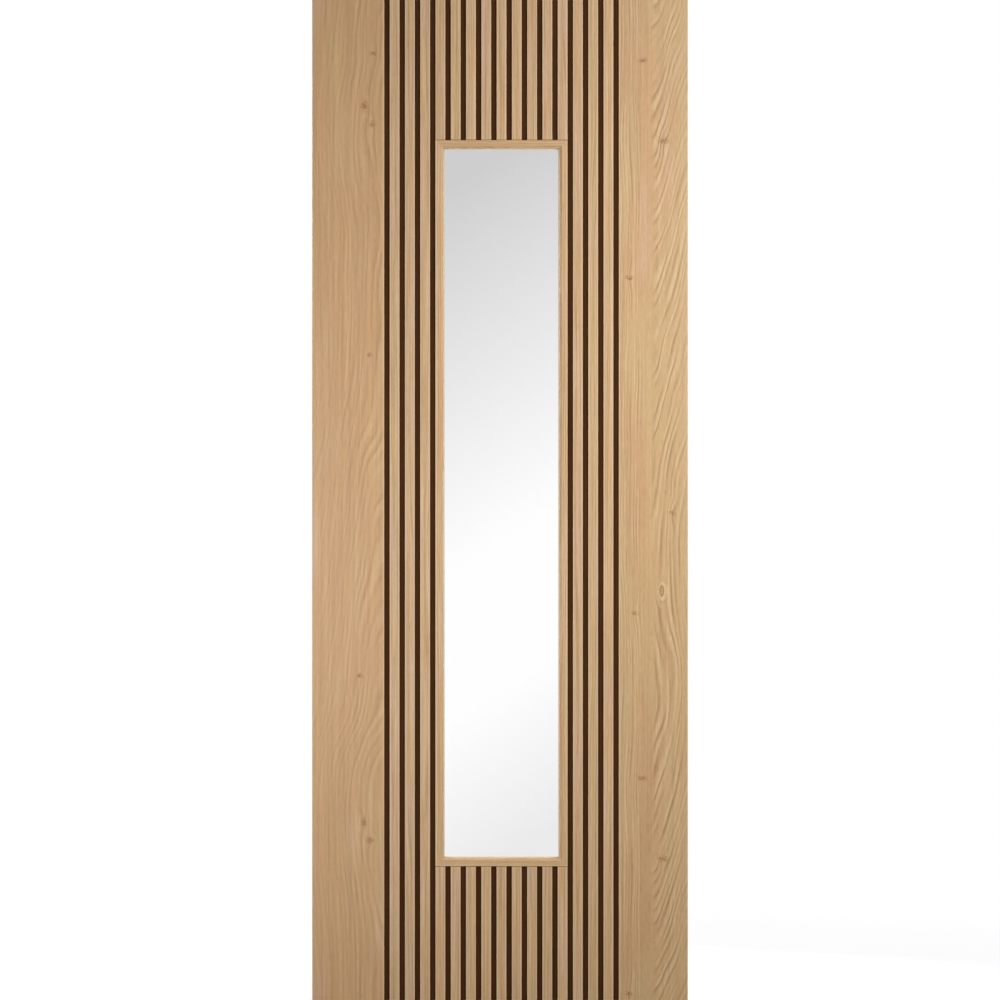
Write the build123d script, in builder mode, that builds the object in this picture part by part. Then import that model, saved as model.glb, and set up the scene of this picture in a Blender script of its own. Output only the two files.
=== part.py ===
"""Glazed interior door leaf with a slatted centre field, in millimetres.

X runs across the leaf from the hinge edge, Y through its thickness and Z up. The front face looks
towards -Y. The origin lies on the hinge edge, at the foot of the leaf, midway through its thickness.

The leaf is a frame of stiles, rails and mullions round one tall aperture. Dark boards cover the
rails and mullions on both faces, and flat oak slats stand on the boards with open grooves between
them. The glass is held in the aperture between two sets of mitred beads, with a seal on each side.
"""

import os

from build123d import *

# Leaf
leaf_height = 2032.0
leaf_width = 762.0
leaf_thickness = 35.0

# Solid lippings along the two long edges
lipping_width = 8.0
lipping_arris = 1.5

# Slatted field
slat_width = 20.0
slat_thickness = 4.0
slat_arris = 1.0
slat_end_gap = 0.3
groove_width = 11.0
board_thickness = 3.0
side_slat_count = 3
short_slat_count = 9
field_shift = 3.0

# Rails and glazing
top_rail_height = 286.0
bottom_rail_height = 273.0
bead_width = 16.0
bead_splay = 4.5
bead_arris = 1.5
glass_thickness = 6.0
glass_edge_gap = 3.0
glass_arris = 0.5
seal_width = 2.5
seal_height = 2.5
seal_lip = 0.4
seal_hollow = 0.45

# Places across the leaf: the field is a row of slats, with a groove beside every slat
slat_pitch = slat_width + groove_width
side_field_width = side_slat_count * slat_pitch + groove_width
aperture_width = short_slat_count * slat_pitch - groove_width
field_width = 2 * side_field_width + aperture_width
field_left = (leaf_width - field_width) / 2 + field_shift
field_right = field_left + field_width
aperture_left = field_left + side_field_width
aperture_right = aperture_left + aperture_width
field_middle = (field_left + field_right) / 2
left_slats_middle = (field_left + aperture_left) / 2
right_slats_middle = (aperture_right + field_right) / 2

# Places up the leaf
aperture_bottom = bottom_rail_height
aperture_top = leaf_height - top_rail_height
aperture_height = aperture_top - aperture_bottom
aperture_middle = (aperture_bottom + aperture_top) / 2

# Places through the leaf, from the front face inwards
front_face = -leaf_thickness / 2
board_front = front_face + slat_thickness
core_front = board_front + board_thickness
core_thickness = -2 * core_front
bead_depth = (leaf_thickness - glass_thickness) / 2


def lipping(left, outer_group):
    """A lipping strip, with its two outer edges rounded. The group picks the outer corners in X."""
    with BuildPart() as strip:
        with BuildSketch() as section:
            with Locations((left + lipping_width / 2, 0)):
                Rectangle(lipping_width, leaf_thickness)
            fillet(section.vertices().group_by(Axis.X)[outer_group], lipping_arris)
        extrude(amount=leaf_height)
    return strip.part


def stile(left, right, field_group):
    """A full-thickness stile, with the two edges beside the field rounded as the slats are."""
    with BuildPart() as upright:
        with BuildSketch() as section:
            with Locations(((left + right) / 2, 0)):
                Rectangle(right - left, leaf_thickness)
            fillet(section.vertices().group_by(Axis.X)[field_group], slat_arris)
        extrude(amount=leaf_height)
    return upright.part


def slab(left, right, bottom, top, front, thickness):
    """A plain upright board between two places across, up and through the leaf."""
    with BuildPart() as board:
        with BuildSketch(Plane.XY.offset(bottom)):
            with Locations(((left + right) / 2, front + thickness / 2)):
                Rectangle(right - left, thickness)
        extrude(amount=top - bottom)
    return board.part


def front_slats(middle, count, bottom, top):
    """Slats side by side on the front boards, each with its two front edges rounded."""
    with BuildPart() as row:
        with BuildSketch(Plane.XY.offset(bottom)) as sections:
            with Locations((middle, front_face + slat_thickness / 2)):
                with GridLocations(slat_pitch, 0, count, 1):
                    Rectangle(slat_width, slat_thickness)
            fillet(sections.vertices().group_by(Axis.Y)[0], slat_arris)
        extrude(amount=top - bottom)
    return row.part


def short_slats(bottom, top, bead_end, outwards):
    """The row of short slats, with a bevel on the front edge of the end that meets a bead.

    That end lies at the height bead_end, and the bead lies above it where outwards is 1, below it at -1.
    """
    with BuildPart() as row:
        add(front_slats(field_middle, short_slat_count, bottom, top))
        bevel_line = (field_middle, front_face + slat_arris, bead_end)
        split(bisect_by=Plane(origin=bevel_line, z_dir=(0, -1, outwards)), keep=Keep.BOTTOM)
    return row.part


def front_bead(side_middle, inwards, side_length):
    """A front glazing bead: its section is run along one side of the aperture, and both ends are mitred.

    The section's first axis points from the aperture's edge to the glass, and its second from the
    leaf's face into the leaf. Its inner front edge is splayed and its outer one is rounded.
    """
    inwards = Vector(inwards)
    along = inwards.cross(Vector(0, 1, 0))
    section_plane = Plane(origin=side_middle, x_dir=inwards, z_dir=along)
    with BuildPart() as moulding:
        with BuildSketch(section_plane) as section:
            with BuildLine():
                Polyline(
                    (0, 0),
                    (bead_width - bead_splay, 0),
                    (bead_width, bead_splay),
                    (bead_width, bead_depth),
                    (0, bead_depth),
                    close=True,
                )
            make_face()
            outer_corners = section.vertices().sort_by_distance(Vector(side_middle))
            fillet(outer_corners[0], bead_arris)
        extrude(amount=side_length / 2, both=True)
        for end in (along, -along):
            mitre_point = Vector(side_middle) + end * (side_length / 2)
            split(bisect_by=Plane(origin=mitre_point, z_dir=end + inwards), keep=Keep.BOTTOM)
    return moulding.part


def back_twin(front_piece):
    """The same piece on the back face, mirrored through the middle of the leaf's thickness."""
    with BuildPart() as twin:
        add(front_piece)
        mirror(about=Plane.XZ, mode=Mode.REPLACE)
    return twin.part


def glass_pane():
    """The pane, smaller than the aperture by the edge gap, with its sharp edges ground off."""
    with BuildPart() as pane:
        with Locations((field_middle, 0, aperture_middle)):
            Box(
                aperture_width - 2 * glass_edge_gap,
                glass_thickness,
                aperture_height - 2 * glass_edge_gap,
            )
        front_edges = pane.faces().sort_by(Axis.Y)[0].edges()
        back_edges = pane.faces().sort_by(Axis.Y)[-1].edges()
        chamfer(front_edges + back_edges, glass_arris)
    return pane.part


def front_seal():
    """The seal in the corner between the front beads and the glass, run once round the sight line.

    Its section lies on the bead with one leg and on the glass with the other, and its face is hollow.
    """
    sight_left = aperture_left + bead_width
    sight_right = aperture_right - bead_width
    sight_bottom = aperture_bottom + bead_width
    sight_top = aperture_top - bead_width
    glass_front = -glass_thickness / 2
    start = (sight_left, glass_front, aperture_middle)
    with BuildPart() as ring:
        with BuildLine() as sight_line:
            Polyline(
                start,
                (sight_left, glass_front, sight_top),
                (sight_right, glass_front, sight_top),
                (sight_right, glass_front, sight_bottom),
                (sight_left, glass_front, sight_bottom),
                close=True,
            )
        with BuildSketch(Plane(origin=start, x_dir=(1, 0, 0), z_dir=(0, 0, 1))):
            with BuildLine():
                legs = Polyline(
                    (seal_lip, -seal_height),
                    (0, -seal_height),
                    (0, 0),
                    (seal_width, 0),
                    (seal_width, -seal_lip),
                )
                SagittaArc(legs @ 0, legs @ 1, seal_hollow)
            make_face()
        sweep(path=sight_line.line, transition=Transition.RIGHT)
    return ring.part


def frame_pieces():
    """The frame that carries everything: stiles, lippings, rails, and mullions beside the aperture."""
    stile_left = lipping_width
    stile_right = leaf_width - lipping_width
    core = {"front": core_front, "thickness": core_thickness}
    return {
        "left_lipping": lipping(0, 0),
        "right_lipping": lipping(stile_right, -1),
        "left_stile": stile(stile_left, field_left, -1),
        "right_stile": stile(field_right, stile_right, 0),
        "top_rail": slab(field_left, field_right, aperture_top, leaf_height, **core),
        "bottom_rail": slab(field_left, field_right, 0, aperture_bottom, **core),
        "left_mullion": slab(field_left, aperture_left, aperture_bottom, aperture_top, **core),
        "right_mullion": slab(aperture_right, field_right, aperture_bottom, aperture_top, **core),
    }


def front_board_pieces():
    """The dark boards at the bottom of the grooves. The joints between them lie at the short slats' edges."""
    layer = {"front": board_front, "thickness": board_thickness}
    return {
        "left_board": slab(field_left, aperture_left, 0, leaf_height, **layer),
        "right_board": slab(aperture_right, field_right, 0, leaf_height, **layer),
        "top_board": slab(aperture_left, aperture_right, aperture_top, leaf_height, **layer),
        "bottom_board": slab(aperture_left, aperture_right, 0, aperture_bottom, **layer),
    }


def front_slat_pieces():
    """Full-height slats beside the glass, one by one, and the short slats above and below it."""
    above_bead = aperture_top + slat_end_gap
    below_bead = aperture_bottom - slat_end_gap
    pieces = {
        "top_slats": short_slats(above_bead, leaf_height, above_bead, -1),
        "bottom_slats": short_slats(0, below_bead, below_bead, 1),
    }
    for side, middle in (("left", left_slats_middle), ("right", right_slats_middle)):
        first = middle - (side_slat_count - 1) / 2 * slat_pitch
        for number in range(side_slat_count):
            place = first + number * slat_pitch
            pieces[f"{side}_slat_{number + 1}"] = front_slats(place, 1, 0, leaf_height)
    return pieces


def front_bead_pieces():
    """The four beads round the glass, each run from the middle of its side of the aperture."""
    return {
        "top_bead": front_bead((field_middle, front_face, aperture_top), (0, 0, -1), aperture_width),
        "bottom_bead": front_bead((field_middle, front_face, aperture_bottom), (0, 0, 1), aperture_width),
        "left_bead": front_bead((aperture_left, front_face, aperture_middle), (1, 0, 0), aperture_height),
        "right_bead": front_bead((aperture_right, front_face, aperture_middle), (-1, 0, 0), aperture_height),
    }


def main():
    pieces = frame_pieces()
    pieces["glass_pane"] = glass_pane()
    front_pieces = front_board_pieces() | front_slat_pieces() | front_bead_pieces()
    front_pieces["glazing_seal"] = front_seal()
    for name, piece in front_pieces.items():
        pieces[f"front_{name}"] = piece
        pieces[f"back_{name}"] = back_twin(piece)
    os.makedirs("parts", exist_ok=True)
    for name, piece in pieces.items():
        piece.label = name
        export_step(piece, f"parts/{name}.step")
    print(len(pieces), "pieces")


main()
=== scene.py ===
"""Dresses the glazed oak door leaf: its oak, its dark grooves, its glass and the seal round it.

X runs across the leaf from the hinge edge, Y through it from the front face to the back, and Z up.
The leaf stands still, so every piece rides on the one body, and patterns are laid out in millimetres
on the leaf's own coordinates.
"""

from types import SimpleNamespace

import bpy
import numpy as np
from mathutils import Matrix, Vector


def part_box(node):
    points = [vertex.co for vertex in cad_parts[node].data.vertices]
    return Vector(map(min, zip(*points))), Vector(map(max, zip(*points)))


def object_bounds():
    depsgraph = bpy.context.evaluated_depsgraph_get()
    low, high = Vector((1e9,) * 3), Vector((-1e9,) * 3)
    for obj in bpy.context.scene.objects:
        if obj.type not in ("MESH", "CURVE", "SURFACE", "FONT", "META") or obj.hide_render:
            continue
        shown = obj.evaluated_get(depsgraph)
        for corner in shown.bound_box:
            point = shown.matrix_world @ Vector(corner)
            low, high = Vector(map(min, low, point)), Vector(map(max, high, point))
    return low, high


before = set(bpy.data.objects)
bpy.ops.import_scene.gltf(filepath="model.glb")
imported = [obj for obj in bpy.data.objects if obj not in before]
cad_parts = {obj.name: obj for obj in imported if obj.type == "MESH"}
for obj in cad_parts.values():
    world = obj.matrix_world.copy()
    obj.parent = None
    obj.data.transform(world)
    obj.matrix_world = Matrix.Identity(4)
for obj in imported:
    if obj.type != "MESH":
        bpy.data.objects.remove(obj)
cad_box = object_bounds()

MM_PER_M = 1000.0

# Sizes read from the frame, in millimetres


def span(node, axis):
    """Where a node begins and ends along one axis of the frame."""
    low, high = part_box(node)
    return low[axis] * MM_PER_M, high[axis] * MM_PER_M


LEAF_HEIGHT = (cad_box[1].z - cad_box[0].z) * MM_PER_M
FIELD_LEFT = span("left_stile", 0)[1]
FIELD_RIGHT = span("right_stile", 0)[0]
APERTURE_LEFT = span("front_left_bead", 0)[0]
APERTURE_RIGHT = span("front_right_bead", 0)[1]
SLAT_LEFT, SLAT_RIGHT = span("front_left_slat_1", 0)
SLAT_WIDTH = SLAT_RIGHT - SLAT_LEFT
SLAT_PITCH = span("front_left_slat_2", 0)[0] - SLAT_LEFT

# Nodes, colours and places

WHITE = "#ffffff"
BACK_FACING = 0.5


def linear(colour):
    """A written sRGB hex colour as the linear colour that a shader takes, with full alpha."""
    parts = np.array([int(colour[i:i + 2], 16) for i in (1, 3, 5)]) / 255
    steep = ((parts + 0.055) / 1.055) ** 2.4
    return (*np.where(parts <= 0.04045, parts / 12.92, steep), 1.0)


def in_use(sockets, name=None):
    """The first socket that the node uses, or the first it uses under that name."""
    return next(s for s in sockets if s.enabled and name in (None, s.name))


def add(tree, kind, inputs=None, **settings):
    """Adds a node, applies its settings, and gives each input a value or a link from a node or a socket."""
    made = tree.nodes.new("ShaderNode" + kind)
    for name, value in settings.items():
        setattr(made, name, value)
    for key, value in (inputs or {}).items():
        socket = made.inputs[key] if isinstance(key, int) else in_use(made.inputs, key)
        source = in_use(value.outputs) if isinstance(value, bpy.types.Node) else value
        if isinstance(source, bpy.types.NodeSocket):
            tree.links.new(source, socket)
        else:
            socket.default_value = source
    return made


def blank_material(name):
    """A material with nothing in it yet, and its node tree."""
    made = bpy.data.materials.new(name)
    made.use_nodes = True
    made.node_tree.nodes.clear()
    return made, made.node_tree


def leaf_place(tree):
    """Where a point lies on the leaf, in millimetres: across, through and up, and all three as place.

    Heights count from the top on the back face, so that the two faces don't show the same boards.
    The surface's own direction is in facing, as the sizes of its three parts.
    """
    own = add(tree, "TexCoord").outputs["Object"]
    scaled = add(tree, "VectorMath", {0: own, "Scale": MM_PER_M}, operation="SCALE")
    parts = add(tree, "SeparateXYZ", {0: scaled}).outputs
    normal = add(tree, "NewGeometry").outputs["Normal"]
    backward = add(tree, "SeparateXYZ", {0: normal}).outputs["Y"]
    is_back = add(tree, "Math", {0: backward, 1: BACK_FACING}, operation="GREATER_THAN")
    # One on the front and minus one on the back
    turned = add(tree, "Math", {0: is_back, 1: -2.0, 2: 1.0}, operation="MULTIPLY_ADD")
    started = add(tree, "Math", {0: is_back, 1: LEAF_HEIGHT}, operation="MULTIPLY")
    up = add(tree, "Math", {0: parts["Z"], 1: turned, 2: started}, operation="MULTIPLY_ADD").outputs[0]
    sizes = add(tree, "VectorMath", {0: normal}, operation="ABSOLUTE")
    return SimpleNamespace(
        across=parts["X"],
        through=parts["Y"],
        up=up,
        place=add(tree, "CombineXYZ", {0: parts["X"], 1: parts["Y"], 2: up}).outputs[0],
        facing=add(tree, "SeparateXYZ", {0: sizes}).outputs,
    )


def lumps(tree, place, size, seed=0.0, detail=1.0):
    """Smooth noise about one half, with lumps as large as size, in millimetres across, through and up.

    The seed moves the noise along all three ways, so that patterns with other seeds differ.
    """
    laid = add(
        tree,
        "Mapping",
        {"Vector": place, "Location": (seed, 2 * seed, 3 * seed), "Scale": tuple(1 / s for s in size)},
    )
    return add(tree, "TexNoise", {"Vector": laid, "Scale": 1.0, "Detail": detail}).outputs["Fac"]


# Oak: its figure, from rings to knots

SWAY_REACH = 12.0
SWAY_SIZE = (9000, 9000, 420)
FAR_SHARE = 0.5


def flame_climb(tree, up, climb):
    """Rings that the flames have climbed at a height: a smooth curve through heights and ring counts."""
    most = max(rings for height, rings in climb)
    height_share = add(tree, "Math", {0: up, 1: 1 / LEAF_HEIGHT}, operation="MULTIPLY")
    curve = add(tree, "FloatCurve", {"Value": height_share})
    points = curve.mapping.curves[0].points
    first, *between, last = [(height / LEAF_HEIGHT, rings / most) for height, rings in climb]
    points[0].location, points[1].location = first, last
    for place_on_curve in between:
        points.new(*place_on_curve)
    curve.mapping.update()
    return add(tree, "Math", {0: curve, 1: most}, operation="MULTIPLY")


def flame_rings(tree, leaf, figure):
    """Ring number over a crown-cut face, how plainly its lines show, and the distance from the heart line.

    Distance counts from a heart line that sways as it climbs, towards the side where the flames are. There,
    ring number is the root of distance squared plus tip squared, less the tip, over the line spacing, less
    the climb times the side. On the heart line's other side the lines run straight: ring number is distance
    over the straight spacing. Slow noise bends both. Lines fade out beside the heart line, where the wood is
    plain, and they fade to a share of their strength far from it.
    """
    seed, side = figure["seed"], figure["side"]
    sway = lumps(tree, leaf.place, SWAY_SIZE, seed)
    heart = add(
        tree,
        "MapRange",
        {"Value": sway, "To Min": figure["heart"] - SWAY_REACH, "To Max": figure["heart"] + SWAY_REACH},
    )
    offset = add(tree, "Math", {0: leaf.across, 1: heart}, operation="SUBTRACT")
    distance = add(tree, "Math", {0: offset, 1: side}, operation="MULTIPLY")
    tip, spacing = figure["tip"], figure["line_spacing"]
    square = add(tree, "Math", {0: distance, 1: distance, 2: tip * tip}, operation="MULTIPLY_ADD")
    root = add(tree, "Math", {0: square}, operation="SQRT")
    limb = add(tree, "Math", {0: root, 1: 1 / spacing, 2: -tip / spacing}, operation="MULTIPLY_ADD")
    climb = flame_climb(tree, leaf.up, figure["climb"])
    flame = add(tree, "Math", {0: climb, 1: -side, 2: limb}, operation="MULTIPLY_ADD")
    straight = add(tree, "Math", {0: distance, 1: 1 / figure["straight_spacing"]}, operation="MULTIPLY")
    is_straight = add(tree, "Math", {0: distance, 1: 0.0}, operation="LESS_THAN")
    ring = add(tree, "Mix", {"Factor": is_straight, "A": flame, "B": straight}, data_type="FLOAT")
    slow = lumps(tree, leaf.place, figure["bend_size"], seed + 4, detail=1.5)
    ring = add(tree, "Math", {0: slow, 1: figure["bend"], 2: ring}, operation="MULTIPLY_ADD")
    spread = add(tree, "Math", {0: distance}, operation="ABSOLUTE")
    near_low, near_high = figure["plain"]
    rising = add(
        tree,
        "MapRange",
        {"Value": spread, "From Min": near_low, "From Max": near_high},
        interpolation_type="SMOOTHSTEP",
    )
    far_low, far_high = figure["far"]
    falling = add(
        tree,
        "MapRange",
        {"Value": spread, "From Min": far_low, "From Max": far_high, "To Min": 1.0, "To Max": FAR_SHARE},
        interpolation_type="SMOOTHSTEP",
    )
    shown = add(tree, "Math", {0: rising, 1: falling}, operation="MULTIPLY")
    sided = add(tree, "MapRange", {"Value": is_straight, "To Min": 1.0, "To Max": figure["straight_share"]})
    return ring, add(tree, "Math", {0: shown, 1: sided}, operation="MULTIPLY"), distance


HILL_REACH = (15.0, 42.0)
RAGGED_SIZE = (5, 9, 5)
RAGGED_REACH = 7.0
FLECK_SIZE = (3.2, 9, 4.5)
FLECK_RANGE = (0.42, 0.58)
FLECK_LEAST = 0.35


def oval(tree, flat_place, centre, half_width, half_height):
    """One at an oval's centre, falling smoothly to nought at its rim."""
    scale = (1 / half_width, 1 / half_height, 0)
    back = (-centre[0] / half_width, -centre[1] / half_height, 0)
    shrunk = add(tree, "VectorMath", {0: flat_place, 1: scale, 2: back}, operation="MULTIPLY_ADD")
    away = add(tree, "VectorMath", {0: shrunk}, operation="LENGTH").outputs["Value"]
    return add(
        tree,
        "MapRange",
        {"Value": away, "To Min": 1.0, "To Max": 0.0},
        interpolation_type="SMOOTHSTEP",
    )


def knotted(tree, leaf, ring, knots):
    """Ring number with a hill at every knot, and how dark the hearts of the knots are.

    A knot is a place across and up, the half width and half height of its dark heart, and the rings that
    its hill adds. Hills are tall ovals, so lines part round them. Hearts are soft ovals whose rim is made
    uneven by noise, with darker flecks where finer noise is high.
    """
    ragged = lumps(tree, leaf.place, RAGGED_SIZE, seed=61)
    ragged = add(tree, "MapRange", {"Value": ragged, "To Min": -RAGGED_REACH, "To Max": RAGGED_REACH})
    moved_across = add(tree, "Math", {0: leaf.across, 1: ragged}, operation="ADD")
    moved_up = add(tree, "Math", {0: leaf.up, 1: ragged}, operation="SUBTRACT")
    smooth_place = add(tree, "CombineXYZ", {0: leaf.across, 1: leaf.up})
    ragged_place = add(tree, "CombineXYZ", {0: moved_across, 1: moved_up})
    dark = 0.0
    for knot_across, knot_up, half_width, half_height, rings in knots:
        centre = (knot_across, knot_up)
        hill = oval(tree, smooth_place, centre, *HILL_REACH)
        ring = add(tree, "Math", {0: hill, 1: rings, 2: ring}, operation="MULTIPLY_ADD")
        heart = oval(tree, ragged_place, centre, half_width, half_height)
        dark = add(tree, "Math", {0: dark, 1: heart}, operation="MAXIMUM")
    flecks = lumps(tree, leaf.place, FLECK_SIZE, seed=60)
    flecked = add(
        tree,
        "MapRange",
        {"Value": flecks, "From Min": FLECK_RANGE[0], "From Max": FLECK_RANGE[1], "To Min": FLECK_LEAST},
    )
    return ring, add(tree, "Math", {0: dark, 1: flecked}, operation="MULTIPLY")


# Oak: its colour

OAK_STRAW = "#cdaa7a"
OAK_WARM = "#caa073"
OAK_ROSY = "#d0ac8a"
OAK_PALE = "#debe92"
# Painted highlight: the paler colour of the wood along eased edges beside the grooves
OAK_EDGE_HIGHLIGHT = "#e6caa6"
OAK_RING = "#a27645"
OAK_PORE = "#80582e"
OAK_KNOT = "#95592f"
OAK_END = "#b08a5e"

# A range is the two levels of a noise between which what it draws goes from none to full
DRIFT_RANGE = (0.34, 0.66)
BLUSH_RANGE = (0.4, 0.7)
BLUSH_MOST = 0.9
STRENGTH_RANGE = (0.36, 0.64)
PORE_RANGE = (0.56, 0.7)
# The next sizes are in rings across and in millimetres up, because their noise follows the rings
RING_UNEVEN_SIZE = (1.7, 1, 1)
RING_UNEVEN = 1.5
STRENGTH_SIZE = (1.2, 1, 130)
# Pores are drawn about three times as wide as the real quarter millimetre, so that they show
PORE_SIZE = (0.11, 1, 16)
LINE_FADE = (0.04, 0.55)
LINE_RISE = (0.75, 1.0)
PORES_IN_LINES = 0.5
PORES_ALL_OVER = 0.25
PORE_SHADE = 0.36
STREAK_SIZE = (3.4, 40, 300)
# Fibres are drawn some ten times as coarse as the real ones, so that they show
FIBRE_SIZE = (1.9, 20, 20)


def drifting_wood(tree, place, warmth, grain):
    """Colour of the plain wood: slow noise drifts it between straw, a warmer brown and a rosy tan."""
    drift = lumps(tree, place, grain["drift_size"], grain["seed"] + 11, detail=1.5)
    drift = add(tree, "Math", {0: drift, 1: warmth}, operation="ADD")
    drift = add(
        tree,
        "MapRange",
        {"Value": drift, "From Min": DRIFT_RANGE[0], "From Max": DRIFT_RANGE[1]},
        interpolation_type="SMOOTHSTEP",
    )
    blush = lumps(tree, place, grain["drift_size"], grain["seed"] + 15, detail=1.5)
    blush = add(tree, "Math", {0: blush, 1: grain["blush"]}, operation="ADD")
    blush = add(
        tree,
        "MapRange",
        {"Value": blush, "From Min": BLUSH_RANGE[0], "From Max": BLUSH_RANGE[1], "To Max": BLUSH_MOST},
        interpolation_type="SMOOTHSTEP",
    )
    brown = add(
        tree, "Mix", {"Factor": drift, "A": linear(OAK_STRAW), "B": linear(OAK_WARM)}, data_type="RGBA"
    )
    return add(tree, "Mix", {"Factor": blush, "A": brown, "B": linear(OAK_ROSY)}, data_type="RGBA")


def ring_line(tree, ring):
    """How near the dark line is that begins each ring: it rises quickly before it and fades slowly after."""
    step = add(tree, "Math", {0: ring}, operation="FRACT")
    fade = add(
        tree,
        "MapRange",
        {"Value": step, "From Min": LINE_FADE[0], "From Max": LINE_FADE[1], "To Min": 1.0, "To Max": 0.0},
        interpolation_type="SMOOTHSTEP",
    )
    rise = add(
        tree,
        "MapRange",
        {"Value": step, "From Min": LINE_RISE[0], "From Max": LINE_RISE[1]},
        interpolation_type="SMOOTHSTEP",
    )
    return add(tree, "Math", {0: fade, 1: rise}, operation="MAXIMUM")


def oak_colour(tree, place, ring, up, shown, warmth, tone, grain):
    """Colour of oak whose ring number is given, with how open its pores are and how dark its lines.

    Each ring begins with a band of open pores, which the eye sees as a dark line of fine dashes, and ends
    in dense wood that is a little paler. Rings differ in width and strength. Warmth leans the wood to the
    brown, and tone scales its brightness. The grain gives the size of the slow drift, its lean to the rosy
    tan, how much the streaks and the fibres along the wood differ, and a seed, to which every noise adds
    its own number.
    """
    seed = grain["seed"]
    plain = drifting_wood(tree, place, warmth, grain)
    across_rings = add(tree, "CombineXYZ", {0: ring})
    uneven = lumps(tree, across_rings, RING_UNEVEN_SIZE, seed + 6)
    ring = add(tree, "Math", {0: uneven, 1: RING_UNEVEN, 2: ring}, operation="MULTIPLY_ADD")
    line = ring_line(tree, ring)
    along_ring = add(tree, "CombineXYZ", {0: ring, 1: seed, 2: up})
    strength = lumps(tree, along_ring, STRENGTH_SIZE, seed + 2)
    strength = add(
        tree,
        "MapRange",
        {"Value": strength, "From Min": STRENGTH_RANGE[0], "From Max": STRENGTH_RANGE[1]},
        interpolation_type="SMOOTHSTEP",
    )
    strength = add(tree, "Math", {0: strength, 1: shown}, operation="MULTIPLY")
    shade = add(tree, "Math", {0: line, 1: strength}, operation="MULTIPLY")
    lined = add(tree, "Mix", {"Factor": shade, "A": plain, "B": linear(OAK_RING)}, data_type="RGBA")
    dense = add(tree, "Math", {0: 1.0, 1: line}, operation="SUBTRACT")
    dense = add(tree, "Math", {0: dense, 1: strength}, operation="MULTIPLY")
    paled = add(tree, "Mix", {"Factor": dense, "A": lined, "B": linear(OAK_PALE)}, data_type="RGBA")
    dashes = lumps(tree, along_ring, PORE_SIZE, seed + 5)
    open_pore = add(
        tree,
        "MapRange",
        {"Value": dashes, "From Min": PORE_RANGE[0], "From Max": PORE_RANGE[1]},
        interpolation_type="SMOOTHSTEP",
    )
    band = add(tree, "Math", {0: shade, 1: PORES_IN_LINES, 2: PORES_ALL_OVER}, operation="MULTIPLY_ADD")
    pore = add(tree, "Math", {0: open_pore, 1: band}, operation="MULTIPLY")
    pore_shade = add(tree, "Math", {0: pore, 1: PORE_SHADE}, operation="MULTIPLY")
    pored = add(tree, "Mix", {"Factor": pore_shade, "A": paled, "B": linear(OAK_PORE)}, data_type="RGBA")
    light = tone
    for size, share, own_seed in (
        (STREAK_SIZE, grain["streaks"], seed + 7),
        (FIBRE_SIZE, grain["fibres"], seed + 8),
    ):
        differing = lumps(tree, place, size, own_seed, detail=2.0)
        about_one = add(tree, "Math", {0: differing, 1: share, 2: 1 - share / 2}, operation="MULTIPLY_ADD")
        light = add(tree, "Math", {0: light, 1: about_one}, operation="MULTIPLY")
    return add(tree, "VectorMath", {0: pored, "Scale": light}, operation="SCALE"), pore, shade


# Painted highlight along eased edges: how far in it reaches and how strong it is
EDGE_HIGHLIGHT_REACH = 4.2
EDGE_HIGHLIGHT_MOST = 0.75


def edge_highlight(tree, colour, from_edge):
    """Wood painted paler over the last few millimetres before an eased edge: a painted highlight where the
    edge would catch the light.
    """
    highlight = add(
        tree,
        "MapRange",
        {"Value": from_edge, "From Min": 0.0, "From Max": EDGE_HIGHLIGHT_REACH, "To Min": EDGE_HIGHLIGHT_MOST, "To Max": 0.0},
        interpolation_type="SMOOTHSTEP",
    )
    return add(tree, "Mix", {"Factor": highlight, "A": colour, "B": linear(OAK_EDGE_HIGHLIGHT)}, data_type="RGBA")


END_RING_SPACING = 4.0
END_BEND_SIZE = (30, 30, 900)
EARLY_WOOD_SHARE = 0.7
EARLY_WOOD_SHADE = 0.8
# Specks stand for clusters of pores, some four times as wide as one
SPECK_SIZE = (1.1, 1.1, 200)
SPECK_RANGE = (0.5, 0.7)
SPECK_SHADE = 0.6


def end_grain(tree, leaf, pith):
    """Sawn end of oak: darker, because open ends drink the finish, with rings as arcs and pores as specks.

    Ring number is the distance from a pith that lies off the piece, over the ring spacing, plus noise.
    """
    flat = add(tree, "CombineXYZ", {0: leaf.across, 1: leaf.through})
    away = add(tree, "VectorMath", {0: flat, 1: (*pith, 0)}, operation="DISTANCE").outputs["Value"]
    bend = lumps(tree, leaf.place, END_BEND_SIZE, seed=71)
    ring = add(tree, "Math", {0: away, 1: 1 / END_RING_SPACING, 2: bend}, operation="MULTIPLY_ADD")
    step = add(tree, "Math", {0: ring}, operation="FRACT")
    early = add(
        tree,
        "MapRange",
        {"Value": step, "From Max": EARLY_WOOD_SHARE, "To Min": EARLY_WOOD_SHADE, "To Max": 0.0},
        interpolation_type="SMOOTHSTEP",
    )
    ringed = add(
        tree, "Mix", {"Factor": early, "A": linear(OAK_END), "B": linear(OAK_PORE)}, data_type="RGBA"
    )
    specks = lumps(tree, leaf.place, SPECK_SIZE, seed=3, detail=2.0)
    open_end = add(
        tree,
        "MapRange",
        {"Value": specks, "From Min": SPECK_RANGE[0], "From Max": SPECK_RANGE[1], "To Max": SPECK_SHADE},
    )
    return add(tree, "Mix", {"Factor": open_end, "A": ringed, "B": linear(OAK_PORE)}, data_type="RGBA")


BRUSH_SIZE = (14, 14, 60)
LACQUER_ROUGH = 0.4
LACQUER_UNEVEN = 0.12
PORE_DULL = 0.25
LINE_DEPTH = 0.3
PORE_DEPTH = 0.7
RELIEF_DEPTH = 0.12 / MM_PER_M


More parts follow.
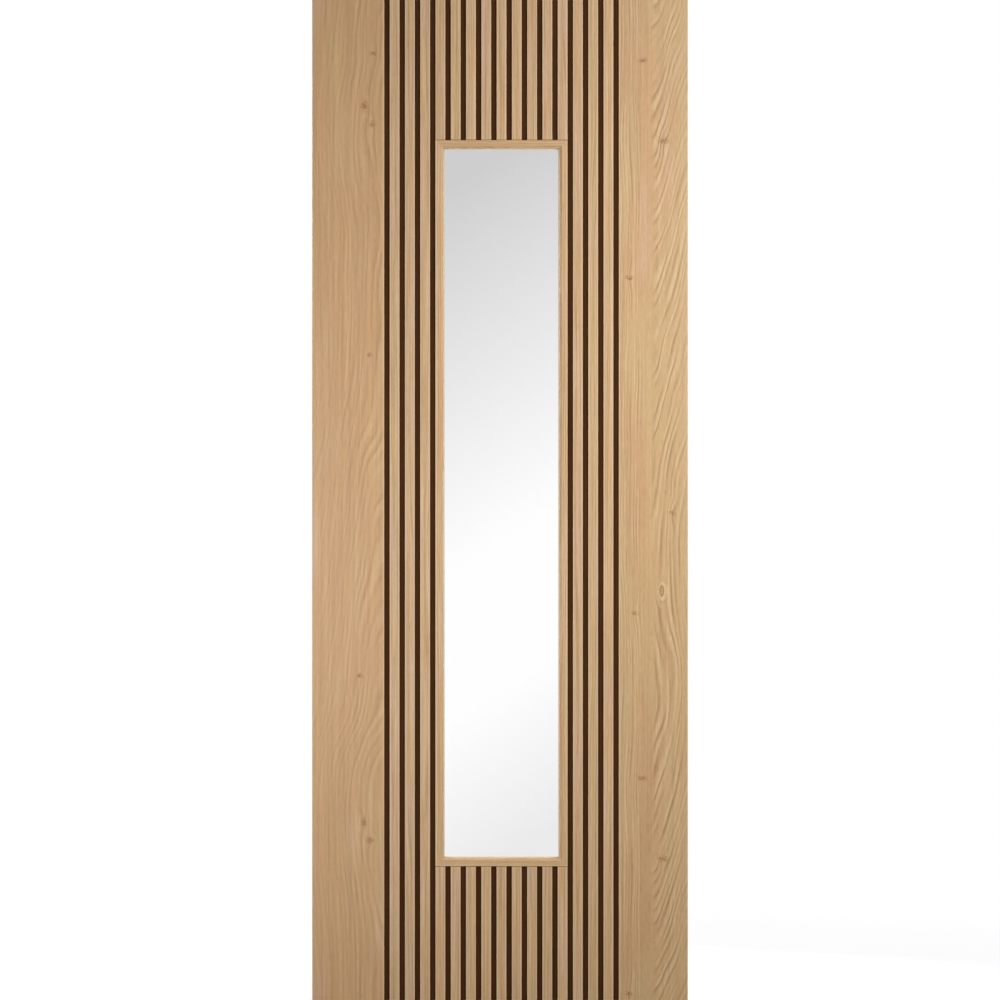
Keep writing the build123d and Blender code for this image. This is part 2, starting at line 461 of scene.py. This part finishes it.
def lacquered(tree, colour, pore, shade, place):
    """Satin lacquer over wood: a soft even shine, duller in the open pores, which it doesn't quite fill."""
    brushed = lumps(tree, place, BRUSH_SIZE, seed=31)
    dull = add(tree, "Math", {0: brushed, 1: LACQUER_UNEVEN, 2: LACQUER_ROUGH}, operation="MULTIPLY_ADD")
    rough = add(tree, "Math", {0: pore, 1: PORE_DULL, 2: dull}, operation="MULTIPLY_ADD")
    relief = add(tree, "Math", {0: shade, 1: -LINE_DEPTH}, operation="MULTIPLY")
    height = add(tree, "Math", {0: pore, 1: -PORE_DEPTH, 2: relief}, operation="MULTIPLY_ADD")
    bumped = add(tree, "Bump", {"Strength": 0.5, "Distance": RELIEF_DEPTH, "Height": height})
    shader = add(
        tree,
        "BsdfPrincipled",
        {"Base Color": colour, "Roughness": rough, "IOR": 1.5, "Normal": bumped},
    )
    add(tree, "OutputMaterial", {"Surface": shader})


# Oak: the finishes of the stiles, the slats and the beads

EDGE_LINE_SPACING = 4.5
EDGE_BEND_SIZE = (40, 30, 480)
EDGE_BEND = 5.0
EDGE_FACING = 0.7
END_FACING = 0.9
WARMTH_REACH = 60.0
CROWN_PITH_DEPTH = 55.0


def edge_rings(tree, leaf, seed):
    """Ring number on a long edge: straight lines that follow the edge, bent a little by slow noise."""
    slow = lumps(tree, leaf.place, EDGE_BEND_SIZE, seed + 9)
    straight = add(
        tree, "Math", {0: leaf.through, 1: 1 / EDGE_LINE_SPACING, 2: seed}, operation="MULTIPLY_ADD"
    )
    return add(tree, "Math", {0: slow, 1: EDGE_BEND, 2: straight}, operation="MULTIPLY_ADD")


def crown_cut_oak(name, figure):
    """Crown-cut oak veneer on a stile and its lipping, sanded and lacquered: flames of pore lines.

    The long edges show the straight grain of the solid lipping under the veneer, and the ends its rings,
    about a pith that lies behind the heart line.
    """
    material, tree = blank_material(name)
    leaf = leaf_place(tree)
    face_ring, shown, distance = flame_rings(tree, leaf, figure)
    face_ring, dark = knotted(tree, leaf, face_ring, figure["knots"])
    is_edge = add(tree, "Math", {0: leaf.facing["X"], 1: EDGE_FACING}, operation="GREATER_THAN")
    edge_ring = edge_rings(tree, leaf, figure["seed"])
    ring = add(tree, "Mix", {"Factor": is_edge, "A": face_ring, "B": edge_ring}, data_type="FLOAT")
    shown = add(tree, "Math", {0: shown, 1: is_edge}, operation="MAXIMUM")
    shown = add(tree, "Math", {0: shown, 1: figure["contrast"]}, operation="MULTIPLY")
    plain_warmth, flame_warmth = figure["warmth"]
    warmth = add(
        tree,
        "MapRange",
        {
            "Value": distance,
            "From Min": -WARMTH_REACH,
            "From Max": WARMTH_REACH,
            "To Min": plain_warmth,
            "To Max": flame_warmth,
        },
    )
    colour, pore, shade = oak_colour(tree, leaf.place, ring, leaf.up, shown, warmth, 1.0, figure)
    is_face = add(tree, "Math", {0: 1.0, 1: is_edge}, operation="SUBTRACT")
    dark = add(tree, "Math", {0: dark, 1: is_face}, operation="MULTIPLY")
    knotty = add(tree, "Mix", {"Factor": dark, "A": colour, "B": linear(OAK_KNOT)}, data_type="RGBA")
    # Painted highlight along the stile's edge beside the field
    past_edge = add(tree, "Math", {0: leaf.across, 1: figure["field_edge"]}, operation="SUBTRACT")
    from_edge = add(tree, "Math", {0: past_edge}, operation="ABSOLUTE")
    highlighted = edge_highlight(tree, knotty, from_edge)
    is_end = add(tree, "Math", {0: leaf.facing["Z"], 1: END_FACING}, operation="GREATER_THAN")
    sawn = end_grain(tree, leaf, (figure["heart"], CROWN_PITH_DEPTH))
    base = add(tree, "Mix", {"Factor": is_end, "A": highlighted, "B": sawn}, data_type="RGBA")
    lacquered(tree, base, pore, shade, leaf.place)
    return material


BOARD_SHIFT = 4000.0
SLAT_LINE_SPACING = 7.0
SLAT_LEAN = 0.002
SLAT_BEND_SIZE = (26, 60, 520)
SLAT_BEND = 3.0
SLAT_TONE = (0.96, 1.05)
SLAT_WARMTH = (-0.12, 0.16)
SLAT_CONTRAST = 0.42
# The bevel at a short slat's end looks half up or half down, and it is end grain too
SLAT_END_FACING = 0.6
RIFT_PITH = (-400.0, 300.0)


def rift_oak_slat(name, seed):
    """Rift-cut oak strip, sanded and lacquered: straight lines, every strip from another board.

    Dice thrown for each strip and face pick its place on the board, the lean of its lines, its tone and
    its hue.
    """
    material, tree = blank_material(name)
    leaf = leaf_place(tree)
    from_slat = add(tree, "Math", {0: leaf.across, 1: SLAT_LEFT}, operation="SUBTRACT")
    counted = add(tree, "Math", {0: from_slat, 1: 1 / SLAT_PITCH}, operation="MULTIPLY")
    number = add(tree, "Math", {0: counted}, operation="FLOOR")
    is_back = add(tree, "Math", {0: leaf.through, 1: 0.0}, operation="GREATER_THAN")
    key = add(tree, "CombineXYZ", {0: number, 1: is_back, 2: seed})
    dice = add(tree, "TexWhiteNoise", {"Vector": key}, noise_dimensions="3D").outputs
    rolls = add(tree, "SeparateColor", {0: dice["Color"]}).outputs
    shift = add(tree, "VectorMath", {0: dice["Color"], "Scale": BOARD_SHIFT}, operation="SCALE")
    board = add(tree, "VectorMath", {0: leaf.place, 1: shift}, operation="ADD")
    slow = lumps(tree, board, SLAT_BEND_SIZE, seed)
    lean = add(tree, "MapRange", {"Value": rolls["Red"], "To Min": -SLAT_LEAN, "To Max": SLAT_LEAN})
    leaning = add(tree, "Math", {0: leaf.up, 1: lean}, operation="MULTIPLY")
    straight = add(
        tree, "Math", {0: leaf.across, 1: 1 / SLAT_LINE_SPACING, 2: leaning}, operation="MULTIPLY_ADD"
    )
    ring = add(tree, "Math", {0: slow, 1: SLAT_BEND, 2: straight}, operation="MULTIPLY_ADD")
    tone = add(tree, "MapRange", {"Value": rolls["Green"], "To Min": SLAT_TONE[0], "To Max": SLAT_TONE[1]})
    warmth, blush = [
        add(tree, "MapRange", {"Value": rolls[roll], "To Min": SLAT_WARMTH[0], "To Max": SLAT_WARMTH[1]})
        for roll in ("Blue", "Red")
    ]
    grain = {"seed": seed, "drift_size": (10, 40, 150), "streaks": 0.6, "fibres": 0.34, "blush": blush}
    colour, pore, shade = oak_colour(tree, board, ring, leaf.up, SLAT_CONTRAST, warmth, tone, grain)
    within = add(tree, "Math", {0: counted}, operation="FRACT")
    from_left = add(tree, "Math", {0: within, 1: SLAT_PITCH}, operation="MULTIPLY")
    from_right = add(tree, "Math", {0: SLAT_WIDTH, 1: from_left}, operation="SUBTRACT")
    from_edge = add(tree, "Math", {0: from_left, 1: from_right}, operation="MINIMUM")
    # Painted highlight along both long edges of each strip
    highlighted = edge_highlight(tree, colour, from_edge)
    is_end = add(tree, "Math", {0: leaf.facing["Z"], 1: SLAT_END_FACING}, operation="GREATER_THAN")
    sawn = end_grain(tree, leaf, RIFT_PITH)
    base = add(tree, "Mix", {"Factor": is_end, "A": highlighted, "B": sawn}, data_type="RGBA")
    lacquered(tree, base, pore, shade, leaf.place)
    return material


BEAD_LINE_SPACING = 5.5
BEAD_DEPTH_SPACING = 7.0
BEAD_BEND_SIZE = (30, 30, 420)
BEAD_BEND = 3.0
BEAD_CONTRAST = 0.5
BEAD_WARMTH = 0.05
BEAD_TONE = 1.03


def moulded_oak_bead(name, is_upright, seed):
    """Straight-grained oak, moulded to the bead's section and lacquered: its lines follow its length."""
    material, tree = blank_material(name)
    leaf = leaf_place(tree)
    along, beside = (leaf.up, leaf.across) if is_upright else (leaf.across, leaf.up)
    turned = add(tree, "CombineXYZ", {0: beside, 1: leaf.through, 2: along})
    slow = lumps(tree, turned, BEAD_BEND_SIZE, seed)
    straight = add(
        tree, "Math", {0: beside, 1: 1 / BEAD_LINE_SPACING, 2: seed}, operation="MULTIPLY_ADD"
    )
    deeper = add(
        tree, "Math", {0: leaf.through, 1: 1 / BEAD_DEPTH_SPACING, 2: straight}, operation="MULTIPLY_ADD"
    )
    ring = add(tree, "Math", {0: slow, 1: BEAD_BEND, 2: deeper}, operation="MULTIPLY_ADD")
    grain = {"seed": seed, "drift_size": (13, 40, 190), "streaks": 0.42, "fibres": 0.3, "blush": 0.0}
    colour, pore, shade = oak_colour(
        tree, turned, ring, along, BEAD_CONTRAST, BEAD_WARMTH, BEAD_TONE, grain
    )
    past_left = add(tree, "Math", {0: leaf.across, 1: APERTURE_LEFT}, operation="SUBTRACT")
    past_right = add(tree, "Math", {0: APERTURE_RIGHT, 1: leaf.across}, operation="SUBTRACT")
    from_edge = add(tree, "Math", {0: past_left, 1: past_right}, operation="MINIMUM")
    # Painted highlight along the beads' outer edges beside the grooves
    lacquered(tree, edge_highlight(tree, colour, from_edge), pore, shade, turned)
    return material


# The other finishes

PINE_PALE = "#ead2a8"
PINE_LINE = "#c7a06b"
PINE_LINE_SIZE = (300, 2.5, 9)


def planed_pine():
    """Planed softwood of the core, seen only at the leaf's top and foot: pale, with faint lines along it."""
    material, tree = blank_material("planed_pine_core")
    lines = lumps(tree, leaf_place(tree).place, PINE_LINE_SIZE, seed=2, detail=2.0)
    colour = add(
        tree, "Mix", {"Factor": lines, "A": linear(PINE_PALE), "B": linear(PINE_LINE)}, data_type="RGBA"
    )
    shader = add(tree, "BsdfPrincipled", {"Base Color": colour, "Roughness": 0.7})
    add(tree, "OutputMaterial", {"Surface": shader})
    return material


STAIN_DEEP = "#351d09"
STAIN_THIN = "#513012"
STAIN_STREAK_SIZE = (3.0, 20, 160)
FUZZ_SIZE = (0.6, 0.6, 1.5)
FUZZ_ROUGH = 0.7
FUZZ_UNEVEN = 0.2


def stained_fibreboard():
    """Fibreboard stained dark brown at the bottom of the grooves: matt, with faint uneven streaks."""
    material, tree = blank_material("stained_fibreboard_groove")
    place = leaf_place(tree).place
    streaks = lumps(tree, place, STAIN_STREAK_SIZE, seed=5, detail=2.0)
    colour = add(
        tree, "Mix", {"Factor": streaks, "A": linear(STAIN_DEEP), "B": linear(STAIN_THIN)}, data_type="RGBA"
    )
    fuzz = lumps(tree, place, FUZZ_SIZE, seed=6)
    rough = add(tree, "Math", {0: fuzz, 1: FUZZ_UNEVEN, 2: FUZZ_ROUGH}, operation="MULTIPLY_ADD")
    shader = add(
        tree, "BsdfPrincipled", {"Base Color": colour, "Roughness": rough, "Specular IOR Level": 0.1}
    )
    add(tree, "OutputMaterial", {"Surface": shader})
    return material


GLASS_CLEAR = "#fdfefd"
GLASS_SHADOW = "#f2f6f4"
ROLLER_WAVE_SIZE = (400, 400, 280)
ROLLER_WAVE_DEPTH = 0.05 / MM_PER_M


def float_glass():
    """Clear toughened float glass: colourless, polished, with the slow roller wave of its furnace."""
    material, tree = blank_material("toughened_float_glass")
    wave = lumps(tree, leaf_place(tree).place, ROLLER_WAVE_SIZE, seed=9)
    bumped = add(tree, "Bump", {"Strength": 0.1, "Distance": ROLLER_WAVE_DEPTH, "Height": wave})
    glass = add(
        tree,
        "BsdfPrincipled",
        {
            "Base Color": linear(GLASS_CLEAR),
            "Roughness": 0.0,
            "IOR": 1.52,
            "Transmission Weight": 1.0,
            "Normal": bumped,
        },
    )
    clear = add(tree, "BsdfTransparent", {"Color": linear(GLASS_SHADOW)})
    is_lamp_ray = add(tree, "LightPath").outputs["Is Shadow Ray"]
    shader = add(tree, "MixShader", {0: is_lamp_ray, 1: glass, 2: clear})
    add(tree, "OutputMaterial", {"Surface": shader})
    return material


SILICONE_PALE = "#fbf4ea"
SILICONE_DEEP = "#efe4d6"
SILICONE_CLEAR = "#fbf5ec"
SILICONE_CLEARNESS = 0.75
TOOLING_SIZE = (24, 24, 24)
TOOLING_DEPTH = 0.3 / MM_PER_M


def tooled_silicone():
    """Clear silicone, tooled along the glass by hand: mostly see-through, a little milky, satin, uneven."""
    material, tree = blank_material("tooled_silicone_seal")
    uneven = lumps(tree, leaf_place(tree).place, TOOLING_SIZE, seed=13, detail=2.0)
    colour = add(
        tree,
        "Mix",
        {"Factor": uneven, "A": linear(SILICONE_PALE), "B": linear(SILICONE_DEEP)},
        data_type="RGBA",
    )
    bumped = add(tree, "Bump", {"Strength": 0.4, "Distance": TOOLING_DEPTH, "Height": uneven})
    milky = add(
        tree,
        "BsdfPrincipled",
        {"Base Color": colour, "Roughness": 0.4, "IOR": 1.41, "Normal": bumped},
    )
    clear = add(tree, "BsdfTransparent", {"Color": linear(SILICONE_CLEAR)})
    shader = add(tree, "MixShader", {0: SILICONE_CLEARNESS, 1: milky, 2: clear})
    add(tree, "OutputMaterial", {"Surface": shader})
    return material


# Figures of the two stiles, in millimetres

# A climb is heights and ring counts, and a knot is across, up, half width, half height and rings
LEFT_FIGURE = {
    "field_edge": FIELD_LEFT,
    "side": -1,
    "heart": 172.0,
    "tip": 70.0,
    "line_spacing": 8.0,
    "straight_spacing": 8.0,
    "straight_share": 1.0,
    "climb": (
        (0, 2.2),
        (100, 2.2),
        (365, 0),
        (600, 4.5),
        (1000, 10.5),
        (1500, 16.5),
        (1800, 14.4),
        (1915, 15.6),
        (2032, 17),
    ),
    "bend_size": (70, 200, 260),
    "bend": 3.2,
    "plain": (0.0, 30.0),
    "far": (90.0, 150.0),
    "warmth": (0.17, 0.17),
    "blush": -0.15,
    "contrast": 0.29,
    "drift_size": (45, 40, 260),
    "streaks": 0.44,
    "fibres": 0.27,
    "seed": 17.0,
    "knots": (
        (124.0, 1922.0, 9.0, 8.0, 0.5),
        (107.0, 1815.0, 9.0, 17.0, 0.8),
        (122.0, 1778.0, 10.0, 10.0, 0.3),
        (116.0, 1311.0, 8.0, 8.0, 0.5),
        (96.0, 660.0, 8.0, 8.0, 0.5),
        (104.0, 362.0, 9.0, 17.0, 0.8),
        (118.0, 325.0, 10.0, 10.0, 0.3),
    ),
}
RIGHT_FIGURE = {
    "field_edge": FIELD_RIGHT,
    "side": 1,
    "heart": 680.0,
    "tip": 30.0,
    "line_spacing": 8.4,
    "straight_spacing": 6.4,
    "straight_share": 0.7,
    "climb": (
        (0, 0),
        (60, 2.4),
        (290, 11),
        (560, 17.6),
        (640, 18),
        (790, 16.4),
        (900, 16.2),
        (1000, 17.2),
        (1500, 28),
        (1745, 36),
        (2032, 45),
    ),
    "bend_size": (60, 200, 240),
    "bend": 3.0,
    "plain": (6.0, 20.0),
    "far": (45.0, 80.0),
    "warmth": (0.06, -0.1),
    "blush": -0.14,
    "contrast": 0.7,
    "drift_size": (38, 40, 220),
    "streaks": 0.36,
    "fibres": 0.4,
    "seed": 40.0,
    "knots": (
        (671.0, 1908.0, 13.0, 8.0, 0.6),
        (712.0, 1745.0, 16.0, 10.0, 0.6),
        (643.0, 1467.0, 12.0, 8.0, 0.8),
        (729.0, 990.0, 8.0, 7.0, 0.8),
        (707.0, 832.0, 3.0, 3.0, 2.0),
        (654.0, 787.0, 10.0, 7.0, 0.6),
        (670.0, 451.0, 13.0, 8.0, 0.6),
        (712.0, 288.0, 16.0, 10.0, 0.6),
        (643.0, 14.0, 11.0, 8.0, 0.6),
    ),
}


def finish_nodes():
    """Gives every CAD node the material of its own finish, found by the end of the node's name.

    The single slats, whose names end in a number, are what is left over.
    """
    left_oak = crown_cut_oak("crown_cut_oak_left", LEFT_FIGURE)
    right_oak = crown_cut_oak("crown_cut_oak_right", RIGHT_FIGURE)
    upright_bead = moulded_oak_bead("moulded_oak_upright_bead", is_upright=True, seed=21.0)
    level_bead = moulded_oak_bead("moulded_oak_level_bead", is_upright=False, seed=26.0)
    pine = planed_pine()
    by_ending = {
        "left_stile": left_oak,
        "left_lipping": left_oak,
        "right_stile": right_oak,
        "right_lipping": right_oak,
        "rail": pine,
        "mullion": pine,
        "board": stained_fibreboard(),
        "top_slats": rift_oak_slat("rift_oak_top_slat", seed=2.0),
        "bottom_slats": rift_oak_slat("rift_oak_bottom_slat", seed=3.0),
        "top_bead": level_bead,
        "bottom_bead": level_bead,
        "left_bead": upright_bead,
        "right_bead": upright_bead,
        "glass_pane": float_glass(),
        "glazing_seal": tooled_silicone(),
    }
    full_slat = rift_oak_slat("rift_oak_full_slat", seed=1.0)
    for name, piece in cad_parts.items():
        match = [material for ending, material in by_ending.items() if name.endswith(ending)]
        piece.material_slots[0].material = match[0] if match else full_slat


finish_nodes()

# Stage: floor, backdrops, light and camera, in metres

MIDDLE = (cad_box[0] + cad_box[1]) / 2


def stage_plane(name, corners, material):
    """A flat four-cornered stage piece."""
    mesh = bpy.data.meshes.new(name)
    mesh.from_pydata(corners, [], [(0, 1, 2, 3)])
    mesh.materials.append(material)
    plane = bpy.data.objects.new(name, mesh)
    bpy.context.scene.collection.objects.link(plane)


def seen_by_eye(tree):
    """One for rays that the eye follows, straight or by way of gloss or glass, and nought for light."""
    path = add(tree, "LightPath").outputs
    seen = add(tree, "Math", {0: path["Is Camera Ray"], 1: path["Is Glossy Ray"]}, operation="MAXIMUM")
    return add(tree, "Math", {0: seen, 1: path["Is Transmission Ray"]}, operation="MAXIMUM")


FLOOR_GREY = "#999999"
FLOOR_LIFT = 0.78
FLOOR_FADE = (0.7, 2.4)
FLOOR_REACH = 40.0


def pale_floor():
    """A pale floor that takes the leaf's soft shadow and fades into the white surroundings."""
    material, tree = blank_material("pale_floor")
    seen = seen_by_eye(tree)
    matt = add(tree, "BsdfDiffuse", {"Color": linear(FLOOR_GREY)})
    lift = add(tree, "Math", {0: seen, 1: FLOOR_LIFT}, operation="MULTIPLY")
    glow = add(tree, "Emission", {"Color": linear(WHITE), "Strength": lift})
    near = add(tree, "AddShader", {0: matt, 1: glow})
    own = add(tree, "TexCoord").outputs["Object"]
    away = add(tree, "VectorMath", {0: own, 1: (MIDDLE.x, 0, 0)}, operation="DISTANCE").outputs["Value"]
    far = add(
        tree,
        "MapRange",
        {"Value": away, "From Min": FLOOR_FADE[0], "From Max": FLOOR_FADE[1]},
        interpolation_type="SMOOTHSTEP",
    )
    white = add(tree, "Emission", {"Color": linear(WHITE), "Strength": 1.0})
    fade = add(tree, "Math", {0: far, 1: seen}, operation="MULTIPLY")
    shader = add(tree, "MixShader", {0: fade, 1: near, 2: white})
    add(tree, "OutputMaterial", {"Surface": shader})
    signs = ((-1, -1), (1, -1), (1, 1), (-1, 1))
    stage_plane("floor", [(x * FLOOR_REACH, y * FLOOR_REACH, 0) for x, y in signs], material)


PAPER_TILT = 0.62
PAPER_AWAY = 2.5
PAPER_TOP = 4.0
PAPER_WHOLE = 0.2
PAPER_HALF_WIDTH = 1.3
PAPER_FOOT = 0.1
# Painted shade on the glowing paper: how its glow falls off above and below mid height
UPPER_GREY = {"From Min": 0.91, "From Max": 1.89, "To Min": 1.0, "To Max": 0.605}
LOWER_GREY = {"From Min": 0.1, "From Max": 0.53, "To Min": 0.826, "To Max": 1.0}


def backdrop_paper():
    """Glowing paper that shows only through the glass: white at mid height, with painted shade that makes it
    greyer towards its top and foot.

    The grey leans, as height plus a share of the way to the left. The paper fades out at its sides and its
    foot, so that a slanted view through the glass shows no edge of it.
    """
    material, tree = blank_material("backdrop_paper")
    own = add(tree, "TexCoord").outputs["Object"]
    parts = add(tree, "SeparateXYZ", {0: own}).outputs
    leftward = add(tree, "Math", {0: MIDDLE.x, 1: parts["X"]}, operation="SUBTRACT")
    height = add(tree, "Math", {0: leftward, 1: PAPER_TILT, 2: parts["Z"]}, operation="MULTIPLY_ADD")
    # Painted shade: the paper's glow dims towards its top and its foot, leaning to the left
    upper = add(tree, "MapRange", {"Value": height, **UPPER_GREY})
    lower = add(tree, "MapRange", {"Value": height, **LOWER_GREY})
    level = add(tree, "Math", {0: upper, 1: lower}, operation="MINIMUM")
    paper = add(tree, "Emission", {"Color": linear(WHITE), "Strength": level})
    beside = add(tree, "Math", {0: leftward}, operation="ABSOLUTE")
    sides = add(
        tree,
        "MapRange",
        {
            "Value": beside,
            "From Min": PAPER_WHOLE,
            "From Max": PAPER_HALF_WIDTH,
            "To Min": 1.0,
            "To Max": 0.0,
        },
        interpolation_type="SMOOTHSTEP",
    )
    foot = add(
        tree,
        "MapRange",
        {"Value": parts["Z"], "From Min": 0.0, "From Max": PAPER_FOOT},
        interpolation_type="SMOOTHSTEP",
    )
    through_glass = add(tree, "LightPath").outputs["Is Transmission Ray"]
    shown = add(tree, "Math", {0: through_glass, 1: sides}, operation="MULTIPLY")
    shown = add(tree, "Math", {0: shown, 1: foot}, operation="MULTIPLY")
    unseen = add(tree, "BsdfTransparent")
    shader = add(tree, "MixShader", {0: shown, 1: unseen, 2: paper})
    add(tree, "OutputMaterial", {"Surface": shader})
    return material


def glass_backdrops():
    """A sheet of paper beyond each face, for the eye that looks through the glass from the other one."""
    paper = backdrop_paper()
    left, right = MIDDLE.x - PAPER_HALF_WIDTH, MIDDLE.x + PAPER_HALF_WIDTH
    for name, away in (("backdrop_behind", PAPER_AWAY), ("backdrop_before", -PAPER_AWAY)):
        corners = [(left, away, 0), (right, away, 0), (right, away, PAPER_TOP), (left, away, PAPER_TOP)]
        stage_plane(name, corners, paper)


LAMP_SIDE = 0.8
# Places of the front lamps, across from the leaf's middle, through and up
KEY_PLACE = (1.189, -1.55, 1.68)
KEY_POWER = 27.0
FILL_PLACE = (-0.741, -1.2, 0.8)
FILL_POWER = 7.2
TOP_HEIGHT = 3.0
TOP_POWER = 5.0


def soft_lamp(name, place, power):
    """A square soft lamp that faces the leaf and doesn't show itself to the eye or through the glass."""
    data = bpy.data.lights.new(name, "AREA")
    data.shape = "SQUARE"
    data.size = LAMP_SIDE
    data.energy = power
    lamp = bpy.data.objects.new(name, data)
    lamp.location = place
    lamp.rotation_euler = (MIDDLE - Vector(place)).to_track_quat("-Z", "Y").to_euler()
    lamp.visible_camera = False
    lamp.visible_transmission = False
    bpy.context.scene.collection.objects.link(lamp)


def studio_lamps():
    """A key and a fill for the front, the same two turned half round the leaf for the back, and a top light.

    The front lamps stand where the glass doesn't mirror them to the camera.
    """
    lamps = (("key", KEY_PLACE, KEY_POWER), ("fill", FILL_PLACE, FILL_POWER))
    for face, turn in (("front", 1), ("back", -1)):
        for name, (across, through, up), power in lamps:
            soft_lamp(f"{face}_{name}", (MIDDLE.x + turn * across, turn * through, up), power)
    soft_lamp("top_light", (MIDDLE.x, 0, TOP_HEIGHT), TOP_POWER)


WORLD_LIGHT = 0.2


def white_world():
    """Even light from all round, and plain white where the eye looks past the leaf."""
    world = bpy.data.worlds.new("white_room")
    world.use_nodes = True
    bpy.context.scene.world = world
    tree = world.node_tree
    tree.nodes.clear()
    level = add(tree, "MapRange", {"Value": seen_by_eye(tree), "To Min": WORLD_LIGHT, "To Max": 1.0})
    sky = add(tree, "Background", {"Color": linear(WHITE), "Strength": level})
    add(tree, "OutputWorld", {"Surface": sky})


CAMERA_AWAY = 10.0
SENSOR_WIDTH_MM = 36.0
OVERFILL = 1.0015


def camera_at_photo():
    """A long lens straight in front of the leaf's middle: the leaf just overfills the picture's height."""
    data = bpy.data.cameras.new("camera")
    data.sensor_width = SENSOR_WIDTH_MM
    data.lens = OVERFILL * SENSOR_WIDTH_MM * CAMERA_AWAY / (LEAF_HEIGHT / MM_PER_M)
    camera = bpy.data.objects.new("camera", data)
    camera.location = (MIDDLE.x, cad_box[0].y - CAMERA_AWAY, MIDDLE.z)
    camera.rotation_euler = (np.pi / 2, 0, 0)
    bpy.context.scene.collection.objects.link(camera)
    bpy.context.scene.camera = camera


pale_floor()
glass_backdrops()
white_world()
studio_lamps()
camera_at_photo()
bpy.context.scene.view_settings.view_transform = "Standard"
